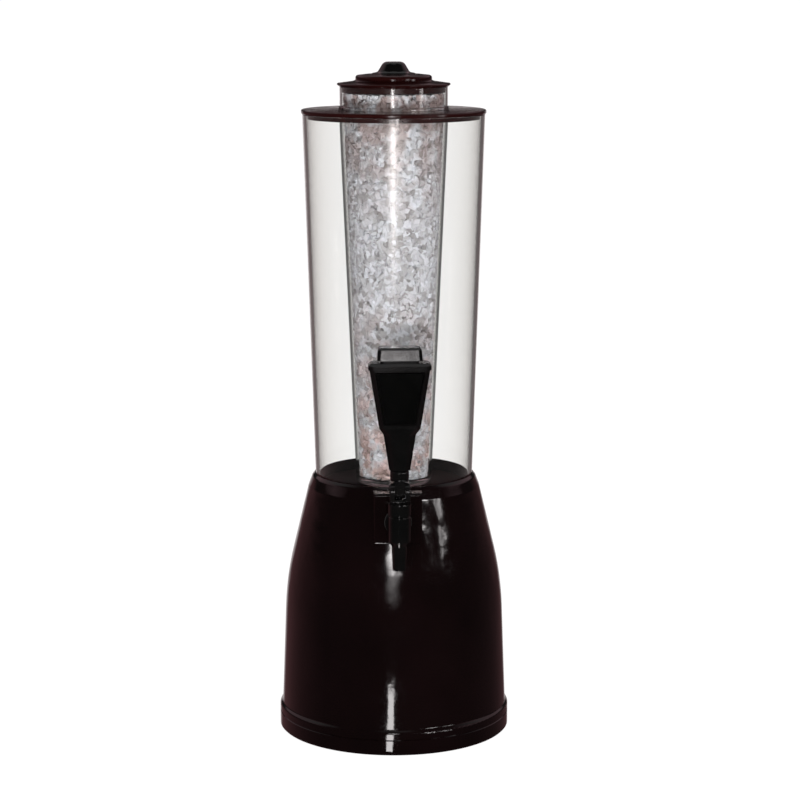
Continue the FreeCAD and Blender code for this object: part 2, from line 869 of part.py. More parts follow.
def helix_point(angle, foot, rise):
    """Point on the spring's centre line and its unit tangent."""
    out = spring_mid_radius * math.cos(angle)
    side = spring_mid_radius * math.sin(angle)
    return at(out, side - tap_reach, foot + rise * angle), at(-side, out, rise).normalize()


def biarc(start, start_way, end, end_way):
    """Two arcs that leave start and reach end along the given tangents."""
    chord = end - start
    both = start_way + end_way
    turn = 2 * (1 - start_way.dot(end_way))
    along = chord.dot(both)
    reach = (-along + math.sqrt(along * along + turn * chord.dot(chord))) / turn
    joint = (start + end + (start_way - end_way) * reach) * 0.5
    arcs = []
    for first, corner, last in ((start, start + start_way * reach, joint), (joint, end - end_way * reach, end)):
        back = (first - corner).normalize()
        ahead = (last - corner).normalize()
        half = back.getAngle(ahead) / 2
        middle = corner + (back + ahead).normalize() * (reach / math.cos(half) - reach * math.tan(half))
        arcs.append(Part.Arc(first, middle, last).toShape())
    return arcs


def paddle_section(z, width, depth, chamfer):
    """Chamfered rectangle round the stem axis."""
    half = width / 2
    front = -tap_reach - depth / 2
    back = -tap_reach + depth / 2
    points = [
        at(-half + chamfer, front, z),
        at(half - chamfer, front, z),
        at(half, front + chamfer, z),
        at(half, back - chamfer, z),
        at(half - chamfer, back, z),
        at(-half + chamfer, back, z),
        at(-half, back - chamfer, z),
        at(-half, front + chamfer, z),
    ]
    return Part.makePolygon(points + points[:1])


def paddle_loft(*sections):
    """Straight-sided solid through sections (height above the paddle's foot, width, depth, chamfer)."""
    pieces = []
    for lower, upper in zip(sections, sections[1:]):
        wires = [paddle_section(paddle_foot + s[0], *s[1:]) for s in (lower, upper)]
        pieces.append(Part.makeLoft(wires, True, True))
    solid = pieces[0]
    for piece in pieces[1:]:
        solid = solid.fuse(piece)
    return solid.removeSplitter()


def panel_outline(y, grow):
    """Panel outline in a plane of constant y, grown on every side."""
    foot = paddle_foot + panel_foot - grow
    top = paddle_foot + panel_foot + panel_height + grow
    lower = panel_foot_width / 2 + grow
    upper = panel_top_width / 2 + grow
    points = [at(-lower, y, foot), at(lower, y, foot), at(upper, y, top), at(-upper, y, top)]
    return Part.makePolygon(points + points[:1])


def make_tap_handle():
    head_foot = paddle_neck_height + paddle_head_rise
    brim_top = brim_rise + brim_thick
    brim_full = brim_width + 2 * brim_over
    brim_depth = paddle_head_depth + 2 * brim_over
    handle = paddle_loft(
        (0, paddle_foot_width, paddle_foot_depth, paddle_foot_chamfer),
        (paddle_neck_height, paddle_neck_width, paddle_neck_depth, paddle_neck_chamfer),
        (head_foot, paddle_head_width, paddle_head_depth, paddle_head_chamfer),
        (brim_rise, brim_width, paddle_head_depth, paddle_head_chamfer),
        (brim_rise + brim_flare, brim_full, brim_depth, brim_chamfer),
        (brim_top - brim_bevel, brim_full, brim_depth, brim_chamfer),
        (brim_top, brim_full - 2 * brim_bevel, brim_depth - 2 * brim_bevel, brim_top_chamfer),
    )
    face = -tap_reach - paddle_head_depth / 2
    recess = Part.makeLoft([
        panel_outline(face - panel_mouth, panel_bevel),
        panel_outline(face + panel_depth, 0.0),
    ], True, True)
    stud_hole = upright(stud_radius + thread_clearance, paddle_foot - cut_past,
                        collar_foot + collar_thick + stud_length + cut_past, 0, -tap_reach)
    crown_hole = upright(peg_radius + thread_clearance, paddle_foot + brim_top - peg_hole,
                         paddle_foot + brim_top + cut_past, 0, -tap_reach)
    return handle.cut([recess, stud_hole, crown_hole]).removeSplitter()


def make_handle_panel():
    face = -tap_reach - paddle_head_depth / 2 + panel_depth
    wire = panel_outline(face, -panel_clearance)
    return Part.Face(wire).extrude(AHEAD * panel_thick)


def make_handle_cap():
    top = brim_rise + brim_thick
    block_foot = top + crown_gap
    bevel_foot = block_foot + crown_height - crown_bevel_drop
    bevel_width = crown_width - 2 * crown_draft
    bevel_depth = paddle_head_depth - crown_lean
    crown = paddle_loft(
        (block_foot, crown_width, paddle_head_depth - crown_foot_lean, crown_chamfer),
        (bevel_foot, bevel_width, bevel_depth, crown_chamfer),
        (block_foot + crown_height, bevel_width - crown_bevel_in, bevel_depth - crown_top_lean,
         crown_top_chamfer),
    )
    waist_size = (crown_width - waist_inset, paddle_head_depth - waist_inset, waist_chamfer)
    waist = paddle_loft((top, *waist_size), (block_foot + crown_gap / 2, *waist_size))
    peg = upright(peg_radius, paddle_foot + top - peg_length, paddle_foot + top + cut_past, 0, -tap_reach)
    return crown.fuse([waist, peg]).removeSplitter()


def make_lid_ring():
    hole = ice_tube_top_radius + tube_clearance
    flange = tank_radius(tank_top) + lid_over
    skirt = tank_radius(tank_top) - tank_wall - lid_skirt_gap
    skirt_foot = lid_foot - lid_skirt
    return turned([
        (hole, lid_foot + lid_under_bevel),
        (skirt - lid_wall, lid_foot),
        (skirt - lid_wall, skirt_foot),
        (skirt - lid_skirt_bevel, skirt_foot, lid_skirt_round),
        (skirt, lid_foot),
        (flange - lid_edge_bevel, lid_foot),
        (flange, lid_foot + lid_under_bevel, lid_edge_bevel),
        (flange, lid_foot + lid_edge, lid_edge_round),
        (hole + lid_crown_in, lid_top, lid_crown_round),
        (hole, lid_top, lid_hole_round),
    ])


def tube_radius(z):
    """Outer radius of the ice tube."""
    share = min(1.0, (z - tube_foot) / (taper_top - tube_foot))
    return ice_tube_foot_radius + share * (ice_tube_top_radius - ice_tube_foot_radius)


def make_ice_tube():
    inner_foot = tube_foot + ice_tube_floor
    bead_foot = lid_top + bead_gap
    bead = ice_tube_top_radius + ice_tube_bead
    return turned([
        (0, tube_foot),
        (ice_tube_foot_radius, tube_foot, ice_tube_foot_round),
        (ice_tube_top_radius, taper_top, ice_tube_bend_round),
        (ice_tube_top_radius, bead_foot),
        (bead, bead_foot, bead_foot_round),
        (bead, bead_foot + bead_height, bead_top_round),
        (ice_tube_top_radius, bead_foot + bead_height + bead_slope),
        (ice_tube_top_radius, tube_top, ice_tube_edge_round),
        (ice_tube_top_radius - ice_tube_wall, tube_top, ice_tube_edge_round),
        (ice_tube_top_radius - ice_tube_wall, taper_top, ice_tube_bend_round),
        (tube_radius(inner_foot) - ice_tube_wall, inner_foot, ice_tube_inner_round),
        (0, inner_foot),
    ])


def make_crushed_ice():
    foot = tube_foot + ice_tube_floor + ice_foot_gap
    top = tube_top - ice_top_gap
    inside = ice_tube_wall + ice_gap
    return turned([
        (0, foot),
        (tube_radius(foot) - inside, foot, ice_round),
        (ice_tube_top_radius - inside, taper_top, ice_tube_bend_round),
        (ice_tube_top_radius - inside, top, ice_round),
        (0, top),
    ])


def make_ice_cap():
    edge = ice_tube_top_radius + cap_over
    skirt = ice_tube_top_radius - ice_tube_wall - cap_skirt_gap
    skirt_foot = cap_foot - cap_skirt
    step_foot = cap_foot + cap_edge
    cap = turned([
        (0, step_top - cap_wall),
        (cap_step_radius - cap_wall, step_top - cap_wall, cap_inner_round),
        (cap_step_radius - cap_wall, cap_foot + cap_plate),
        (skirt - cap_wall, cap_foot),
        (skirt - cap_wall, skirt_foot),
        (skirt - cap_skirt_bevel, skirt_foot, cap_skirt_round),
        (skirt, cap_foot),
        (edge - cap_bevel_in, cap_foot),
        (edge, cap_foot + cap_edge * cap_edge_low, cap_edge_low_round),
        (edge - cap_edge_in, cap_foot + cap_edge * cap_edge_high, cap_edge_high_round),
        (cap_step_radius + cap_step_foot_out, step_foot, cap_step_foot_round),
        (cap_step_radius, step_foot + cap_step_foot_rise),
        (cap_step_radius, step_top, cap_step_round),
        (cap_crown_radius, crown_top, cap_crown_round),
        (0, crown_top),
    ])
    screw_hole = upright(knob_screw_radius + hole_clearance, step_top - cap_wall - cut_past,
                         crown_top + cut_past)
    return cap.cut(screw_hole)


def make_cap_knob():
    knob_top = crown_top + knob_height
    knob = turned([
        (0, crown_top),
        (knob_foot_radius, crown_top),
        (knob_foot_radius - knob_foot_bevel, crown_top + knob_foot_edge),
        (knob_flare_radius, crown_top + knob_flare_height, knob_flare_round),
        (knob_top_radius, knob_top, knob_top_round),
        (0, knob_top),
    ])
    screw_top = step_top - cap_wall + knob_screw_length
    return knob.cut(upright(knob_screw_radius + thread_clearance, crown_top - cut_past, screw_top + pilot_room))


def make_knob_screw():
    return screw(knob_head_radius, knob_head_height, knob_screw_radius, knob_screw_length, 0, 0,
                 step_top - cap_wall - knob_head_height)


def make_all():
    outer_washer = washer(washer_radius + washer_show, -boss_front - washer_thick, -boss_front)
    inner_washer = washer(washer_radius, -sump_front, -sump_front + washer_thick)
    spacer = washer(spacer_radius, -boss_front + bell_wall, -sump_front - sump_wall)
    return {
        "base_shell": make_base_shell(),
        "foot_plate": make_foot_plate(),
        "foot_ring": make_foot_ring(),
        "foot_screws": make_foot_screws(),
        "reservoir_floor": make_reservoir_floor(),
        "floor_screws": make_floor_screws(),
        "tank_gasket": make_tank_gasket(),
        "drink_tank": make_drink_tank(),
        "tap_body": make_tap_body(),
        "tap_outer_washer": outer_washer,
        "shank_spacer": spacer,
        "tap_inner_washer": inner_washer,
        "tap_jam_nut": make_tap_jam_nut(),
        "tap_bonnet": make_tap_bonnet(),
        "stem_seal": make_stem_seal(),
        "lever_pin": make_lever_pin(),
        "tap_lever": make_tap_lever(),
        "stem_pin": make_stem_pin(),
        "tap_handle": make_tap_handle(),
        "handle_panel": make_handle_panel(),
        "handle_cap": make_handle_cap(),
        "valve_stem": make_valve_stem(),
        "seat_plug": make_seat_plug(),
        "return_spring": make_return_spring(),
        "lid_ring": make_lid_ring(),
        "ice_tube": make_ice_tube(),
        "crushed_ice": make_crushed_ice(),
        "ice_cap": make_ice_cap(),
        "cap_knob": make_cap_knob(),
        "knob_screw": make_knob_screw(),
    }


os.makedirs("parts", exist_ok=True)
for name, shape in make_all().items():
    solids = shape.Solids
    if not shape.isValid() or not solids or min(solid.Volume for solid in solids) <= 0:
        raise ValueError(f"{name} is not a good solid")
    shape.exportStep(f"parts/{name}.step")
    size = shape.BoundBox
    print(f"{name}: {len(solids)} solid, {shape.Volume / 1000:.2f} cm3, "
          f"z {size.ZMin:.2f} to {size.ZMax:.2f}")
print(f"stem lift {stem_lift:.3f} mm over {lever_swing:.0f} degrees")
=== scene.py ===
import math

import bmesh
import bpy
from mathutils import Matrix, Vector, noise


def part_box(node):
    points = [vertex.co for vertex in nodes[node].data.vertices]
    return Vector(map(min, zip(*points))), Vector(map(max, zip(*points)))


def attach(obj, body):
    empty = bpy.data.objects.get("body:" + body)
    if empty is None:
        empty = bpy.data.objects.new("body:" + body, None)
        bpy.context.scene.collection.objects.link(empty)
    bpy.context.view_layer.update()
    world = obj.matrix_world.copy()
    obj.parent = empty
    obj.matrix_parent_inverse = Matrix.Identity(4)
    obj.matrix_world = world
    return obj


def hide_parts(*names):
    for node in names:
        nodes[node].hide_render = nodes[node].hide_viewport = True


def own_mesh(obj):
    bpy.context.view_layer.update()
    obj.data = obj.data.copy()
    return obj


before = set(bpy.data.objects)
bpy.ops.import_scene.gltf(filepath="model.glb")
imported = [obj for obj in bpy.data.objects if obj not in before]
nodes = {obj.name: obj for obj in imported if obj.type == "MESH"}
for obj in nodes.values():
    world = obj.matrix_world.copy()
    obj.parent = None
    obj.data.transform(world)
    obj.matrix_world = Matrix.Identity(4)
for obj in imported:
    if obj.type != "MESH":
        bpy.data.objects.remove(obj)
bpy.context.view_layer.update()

# Camera, in radians, metres and millimetres of lens
camera_azimuth = math.radians(2.5)
camera_pitch = math.radians(9.93)
camera_distance = 1.849
camera_height = 0.583
camera_side_step = 0.0048
camera_lens = 108.63
sensor_width = 36.0

# Ice in its tube, in metres
ice_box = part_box("crushed_ice")
ice_low, ice_high = (corner.z for corner in ice_box)
ice_top_radius = (ice_box[1].x - ice_box[0].x) / 2
ice_taper = 0.0121 / 0.2962
ice_foot_radius = ice_top_radius - ice_taper * (ice_high - ice_low)

# Layers of chips behind the tube's wall: name, depth, spacing, chip size and seed
ice_layers = (
    ("ice_chips", 0.0015, 0.0029, 0.0028, 4.0),
    ("ice_lumps", 0.0040, 0.0050, 0.0050, 9.0),
)
chip_cube = 1.5
chip_smallest = (0.65, 0.5, 0.35)
chip_largest = (1.5, 1.0, 0.8)
chip_shape_seed, chip_turn_seed, chip_tone_seed = 11.0, 23.0, 37.0
break_turns = 330.0
break_share = 1.7
most_chips_per_area = 400000.0
chip_cone_sides, chip_cone_rings = 48, 12
thinnest_radius = 0.0001

# Body of ice behind the layers. The lumps are turns per metre and height.
core_inset = 0.0055
core_rings, core_sides = 120, 96
core_lumps = ((160.0, 0.0020), (420.0, 0.0010))

# Tones of the plastics
bell_tones = ((0.0030, 0.0011, 0.0012, 1.0), (0.0048, 0.0017, 0.0019, 1.0))
lid_tones = ((0.014, 0.0024, 0.0022, 1.0), (0.020, 0.0036, 0.0034, 1.0))
floor_tones = ((0.0075, 0.0014, 0.0014, 1.0), (0.012, 0.0022, 0.0022, 1.0))
warm_black = (0.0045, 0.0038, 0.0038, 1.0)
tank_clear, tank_edge = (0.985, 0.982, 0.975, 1.0), (0.955, 0.94, 0.915, 1.0)
tube_clear, tube_edge = (0.985, 0.985, 0.980, 1.0), (0.94, 0.93, 0.92, 1.0)

# Tones of the ice, from the gaps to the milkiest pieces, and its painted reflection of the oxblood base near
# the foot and painted shade with a warm reflection near the top of the tube
chip_tones = (
    (0.0, (0.50, 0.48, 0.48, 1.0)), (0.15, (0.68, 0.67, 0.69, 1.0)),
    (0.5, (0.80, 0.81, 0.85, 1.0)), (1.0, (0.92, 0.94, 1.0, 1.0)),
)
packed_tones = (
    (0.15, (0.55, 0.52, 0.52, 1.0)), (0.45, (0.74, 0.73, 0.75, 1.0)), (0.85, (0.88, 0.89, 0.93, 1.0)),
)
low_painted_reflection = (0.93, 0.70, 0.63, 1.0)
high_painted_shade = (0.58, 0.45, 0.41, 1.0)

# Refractive index of each kind of surface
plastic_index = 1.5
acrylic_index = 1.49
ice_index = 1.31


def add_node(tree, kind, values=None, **settings):
    """A node with its settings. A value that is a socket is linked, any other is set."""
    node = tree.nodes.new(kind)
    for name, value in settings.items():
        setattr(node, name, value)
    for key, value in (values or {}).items():
        if isinstance(value, bpy.types.NodeSocket):
            tree.links.new(value, node.inputs[key])
        else:
            node.inputs[key].default_value = value
    return node


def calc(tree, operation, *values):
    """Output of a Math node in either kind of tree."""
    return add_node(tree, "ShaderNodeMath", dict(enumerate(values)), operation=operation).outputs[0]


def vector_calc(tree, operation, first, second):
    """Output of a Vector Math node with two vectors."""
    node = add_node(tree, "ShaderNodeVectorMath", {0: first, 1: second}, operation=operation)
    return node.outputs["Vector"]


def scaled(tree, vector, by):
    """A vector or colour scaled by a number."""
    node = add_node(tree, "ShaderNodeVectorMath", {0: vector, "Scale": by}, operation="SCALE")
    return node.outputs["Vector"]


def product(tree, *values):
    """The values multiplied together."""
    result = values[0]
    for value in values[1:]:
        result = calc(tree, "MULTIPLY", result, value)
    return result


def split_axes(tree, vector):
    """The three parts of a vector, by the names X, Y and Z."""
    return add_node(tree, "ShaderNodeSeparateXYZ", {"Vector": vector}).outputs


def ramp(tree, factor, *stops):
    """Output of a Color Ramp with (place, colour) stops."""
    node = add_node(tree, "ShaderNodeValToRGB", {"Fac": factor})
    band = node.color_ramp
    while len(band.elements) < len(stops):
        band.elements.new(0.5)
    for element, (place, colour) in zip(band.elements, stops):
        element.position = place
        element.color = colour
    return node.outputs["Color"]


def grey(value):
    """A grey colour."""
    return (value, value, value, 1.0)


def span(tree, value, across, to):
    """Output of a Map Range node, which takes a value across one range to another and stays in it."""
    values = {"Value": value, "From Min": across[0], "From Max": across[1], "To Min": to[0], "To Max": to[1]}
    return add_node(tree, "ShaderNodeMapRange", values).outputs["Result"]


def place_on(tree, scale=(1.0, 1.0, 1.0)):
    """Object coordinates, scaled."""
    coords = add_node(tree, "ShaderNodeTexCoord").outputs["Object"]
    if scale == (1.0, 1.0, 1.0):
        return coords
    return add_node(tree, "ShaderNodeMapping", {"Vector": coords, "Scale": scale}).outputs["Vector"]


def grain(tree, where, turns, detail=2.0, roughness=0.5):
    """Noise over the surface, in turns per metre."""
    values = {"Vector": where, "Scale": turns, "Detail": detail, "Roughness": roughness}
    return add_node(tree, "ShaderNodeTexNoise", values).outputs["Fac"]


def new_finish(name, **values):
    """A material with one Principled shader, and its tree and shader."""
    finish = bpy.data.materials.new(name)
    finish.use_nodes = True
    tree = finish.node_tree
    shader = tree.nodes["Principled BSDF"]
    for key, value in values.items():
        shader.inputs[key.replace("_", " ")].default_value = value
    return finish, tree, shader


def drive(tree, shader, **outputs):
    """Links outputs to the shader's sockets of those names."""
    for key, output in outputs.items():
        tree.links.new(output, shader.inputs[key.replace("_", " ")])


def raise_skin(tree, shader, height, depth):
    """Bump of this depth in metres on the shader's normal."""
    bump = add_node(tree, "ShaderNodeBump", {"Height": height, "Distance": depth, "Strength": 1.0})
    drive(tree, shader, Normal=bump.outputs["Normal"])


def make_oxblood(name, tones, gloss, ripple, shine=0.5, foot_wave=5.0, cone_wave=5.0):
    """Oxblood plastic with a rippled moulded skin, faint rub marks and a cloudy tone.
    The long wave in the skin goes from foot_wave on the foot to cone_wave on the cone above it."""
    foot_to_cone = (0.07, 0.15)
    finish, tree, shader = new_finish(name, IOR=plastic_index, Specular_IOR_Level=shine)
    where = place_on(tree)
    cloud = grain(tree, where, turns=14.0, detail=3.0)
    rub = grain(tree, place_on(tree, scale=(1.0, 1.0, 0.25)), turns=420.0, detail=3.0, roughness=0.6)
    haze = grain(tree, where, turns=30.0, detail=2.0)
    rubbed = span(tree, rub, across=(0.45, 0.75), to=(0.0, 0.05))
    hazed = span(tree, haze, across=(0.35, 0.7), to=gloss)
    drive(
        tree, shader, Base_Color=ramp(tree, cloud, (0.35, tones[0]), (0.68, tones[1])),
        Roughness=calc(tree, "ADD", rubbed, hazed),
    )
    wave = span(tree, split_axes(tree, where)["Z"], across=foot_to_cone, to=(foot_wave, cone_wave))
    long_wave = grain(tree, where, turns=62.0, detail=1.0)
    short_wave = grain(tree, where, turns=260.0, detail=2.0)
    raise_skin(tree, shader, calc(tree, "MULTIPLY_ADD", long_wave, wave, short_wave), depth=ripple)
    return finish


def make_acrylic(name, clear, edge):
    """Clear polished acrylic that darkens towards grazing view, with a faint ripple from the mould."""
    finish, tree, shader = new_finish(name, IOR=acrylic_index, Transmission_Weight=1.0)
    facing = add_node(tree, "ShaderNodeLayerWeight", {"Blend": 0.5}).outputs["Facing"]
    smear = grain(tree, place_on(tree, scale=(1.0, 1.0, 0.5)), turns=60.0, detail=3.0, roughness=0.6)
    drive(
        tree, shader, Base_Color=ramp(tree, facing, (0.18, clear), (0.62, edge)),
        Roughness=span(tree, smear, across=(0.5, 0.8), to=(0.004, 0.05)),
    )
    ripple = grain(tree, place_on(tree, scale=(1.0, 1.0, 0.35)), turns=26.0, detail=1.0)
    raise_skin(tree, shader, ripple, depth=0.00006)
    return finish


def make_ice():
    """Wet crushed ice: milky and clear pieces, with a painted warm reflection of the oxblood plastic near
    both ends of the tube and painted shade near the top.
    """
    low_reach = (ice_low + 0.02, ice_low + 0.15)
    high_reach = (ice_high - 0.10, ice_high - 0.015)
    finish, tree, shader = new_finish("wet_ice", IOR=ice_index)
    where = place_on(tree)
    height = split_axes(tree, where)["Z"]
    tone = add_node(tree, "ShaderNodeAttribute", attribute_name="chip_tone").outputs["Fac"]
    low_painted_share = span(tree, height, across=low_reach, to=(1.0, 0.0))
    high_painted_share = span(tree, height, across=high_reach, to=(0.1, 1.0))
    patches = span(tree, grain(tree, where, turns=75.0, detail=3.0), across=(0.42, 0.58), to=(0.0, 1.0))
    toned_and_painted = ramp(tree, tone, *chip_tones)
    # Painted light: a warm reflection of the oxblood base near the foot, and painted shade with a warm
    # reflection near the top, in patches
    for painted_share, colour in ((low_painted_share, low_painted_reflection), (high_painted_share, high_painted_shade)):
        painted_tint = ramp(tree, calc(tree, "MULTIPLY", painted_share, patches), (0.0, grey(1.0)), (1.0, colour))
        toned_and_painted = vector_calc(tree, "MULTIPLY", toned_and_painted, painted_tint)
    drive(
        tree, shader, Base_Color=toned_and_painted,
        Roughness=span(tree, grain(tree, where, turns=300.0), across=(0.3, 0.7), to=(0.03, 0.2)),
        Transmission_Weight=span(tree, tone, across=(0.0, 1.0), to=(0.25, 0.0)),
    )
    raise_skin(tree, shader, grain(tree, where, turns=500.0), depth=0.0007)
    return finish


def make_packed_ice():
    """Body of the ice behind the chips: grainy, milky and shaded in the gaps."""
    finish, tree, shader = new_finish("packed_ice", IOR=ice_index)
    cells = add_node(tree, "ShaderNodeTexVoronoi", {"Vector": place_on(tree), "Scale": 190.0}, feature="F1")
    drive(
        tree, shader, Base_Color=ramp(tree, cells.outputs["Color"], *packed_tones),
        Roughness=span(tree, cells.outputs["Distance"], across=(0.0, 0.7), to=(0.1, 0.45)),
    )
    raise_skin(tree, shader, cells.outputs["Distance"], depth=0.001)
    return finish


def make_black_gloss():
    """Black injection-moulded plastic with a fine skin and handled patches."""
    finish, tree, shader = new_finish("black_gloss", IOR=plastic_index)
    where = place_on(tree)
    handled = grain(tree, where, turns=90.0, detail=3.0, roughness=0.6)
    drive(
        tree, shader,
        Base_Color=ramp(tree, grain(tree, where, turns=40.0), (0.3, grey(0.0022)), (0.7, warm_black)),
        Roughness=span(tree, handled, across=(0.35, 0.7), to=(0.07, 0.18)),
    )
    raise_skin(tree, shader, grain(tree, where, turns=900.0), depth=0.00005)
    return finish


def make_black_etched():
    """Blank matte panel with a fine etched grain."""
    finish, tree, shader = new_finish("black_etched", IOR=plastic_index, Specular_IOR_Level=0.06)
    where = place_on(tree)
    drive(
        tree, shader,
        Base_Color=ramp(tree, grain(tree, where, turns=60.0), (0.3, grey(0.0006)), (0.7, grey(0.0014))),
        Roughness=span(tree, grain(tree, where, turns=1500.0), across=(0.3, 0.7), to=(0.5, 0.72)),
    )
    raise_skin(tree, shader, grain(tree, where, turns=2200.0), depth=0.00004)
    return finish


def make_rubber():
    """Dull black rubber with a mould bloom."""
    finish, tree, shader = new_finish("black_rubber", IOR=plastic_index)
    where = place_on(tree)
    cloud = grain(tree, where, turns=120.0, detail=4.0)
    bloom = grain(tree, where, turns=700.0, detail=3.0)
    drive(
        tree, shader, Base_Color=ramp(tree, cloud, (0.35, grey(0.012)), (0.7, grey(0.035))),
        Roughness=span(tree, bloom, across=(0.3, 0.7), to=(0.6, 0.9)),
    )
    raise_skin(tree, shader, grain(tree, where, turns=1600.0, detail=3.0), depth=0.0001)
    return finish


def make_steel():
    """Turned stainless steel with rings of tool marks."""
    finish, tree, shader = new_finish("turned_steel", Metallic=1.0)
    marks = grain(tree, place_on(tree, scale=(1.0, 1.0, 14.0)), turns=260.0, detail=3.0, roughness=0.7)
    drive(
        tree, shader, Base_Color=ramp(tree, marks, (0.3, grey(0.42)), (0.75, grey(0.66))),
        Roughness=span(tree, marks, across=(0.3, 0.7), to=(0.22, 0.4)),
    )
    raise_skin(tree, shader, marks, depth=0.00003)
    return finish


bell_oxblood = make_oxblood(
    "bell_oxblood", bell_tones, gloss=(0.05, 0.11), ripple=0.00004, foot_wave=3.0, cone_wave=12.0,
)
lid_oxblood = make_oxblood("lid_oxblood", lid_tones, gloss=(0.08, 0.16), ripple=0.00002, shine=0.3)
floor_oxblood = make_oxblood("floor_oxblood", floor_tones, gloss=(0.5, 0.62), ripple=0.00002, shine=0.02)
wet_ice = make_ice()
packed_ice = make_packed_ice()
turned_steel = make_steel()

finishes = {
    bell_oxblood: ["base_shell", "foot_plate"],
    lid_oxblood: ["lid_ring", "ice_cap"],
    floor_oxblood: ["reservoir_floor"],
    make_acrylic("tank_acrylic", tank_clear, tank_edge): ["drink_tank"],
    make_acrylic("tube_acrylic", tube_clear, tube_edge): ["ice_tube"],
    wet_ice: ["crushed_ice"],
    make_black_gloss(): [
        "shank_spacer", "tap_body", "tap_bonnet", "tap_lever", "tap_handle", "handle_cap", "cap_knob",
    ],
    make_black_etched(): ["handle_panel"],
    make_rubber(): [
        "foot_ring", "tank_gasket", "tap_outer_washer", "tap_inner_washer", "stem_seal", "seat_plug",
    ],
    turned_steel: [
        "foot_screws", "floor_screws", "tap_jam_nut", "lever_pin", "stem_pin", "valve_stem",
        "return_spring", "knob_screw",
    ],
}
for finish, names in finishes.items():
    for name in names:
        for slot in nodes[name].material_slots:
            slot.material = finish
unfinished = set(nodes) - {name for names in finishes.values() for name in names}
if unfinished:
    raise RuntimeError(f"no finish for {sorted(unfinished)}")

# Light reaches the ice through the clear walls
for name in ("drink_tank", "ice_tube"):
    nodes[name].visible_shadow = False


def link_piece(name, mesh):
    """An object of this mesh at the origin."""
    piece = bpy.data.objects.new(name, mesh)
    bpy.context.scene.collection.objects.link(piece)
    return piece


def keep_mesh(name, shape, *finishes):
    """The mesh of a bmesh shape, with its finishes."""
    mesh = bpy.data.meshes.new(name)
    shape.to_mesh(mesh)
    shape.free()
    for finish in finishes:
        mesh.materials.append(finish)
    return mesh


def keep_result(piece):
    """Turns a piece's Geometry Nodes result into its own mesh and takes the modifier off."""
    evaluated = piece.evaluated_get(bpy.context.evaluated_depsgraph_get())
    mesh = bpy.data.meshes.new_from_object(evaluated)
    piece.modifiers.clear()
    piece.data = mesh


def stand_for_ice(piece):
    """Puts a piece of the filling in the ice tube in place of the plain one."""
    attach(piece, "ice_tube")
    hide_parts("crushed_ice")


